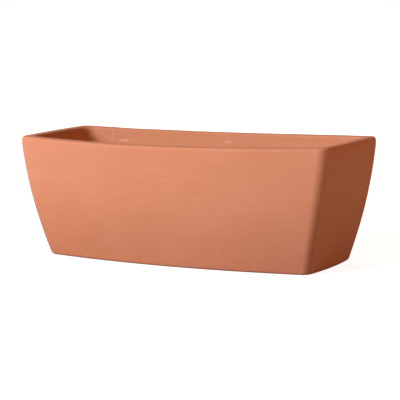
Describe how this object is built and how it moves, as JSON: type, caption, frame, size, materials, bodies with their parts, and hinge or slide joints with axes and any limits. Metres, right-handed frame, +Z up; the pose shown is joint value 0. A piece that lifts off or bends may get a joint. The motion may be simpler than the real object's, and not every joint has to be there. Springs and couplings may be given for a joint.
{
  "type": "window box planter",
  "caption": "Long open terracotta trough with bowed, inward-curving walls, rounded corners, a thick rounded rim and drain holes in its floor.",
  "frame": {"origin": "on the ground under the middle of the box", "axes": "+X along the box, +Y across it to the back, +Z up"},
  "size_m": [0.5, 0.2122, 0.175],
  "materials": {
    "terracotta": "matte unglazed fired clay, slightly mottled"
  },
  "bodies": {
    "root": {"terracotta_box": "terracotta"}
  },
  "joints": []
}
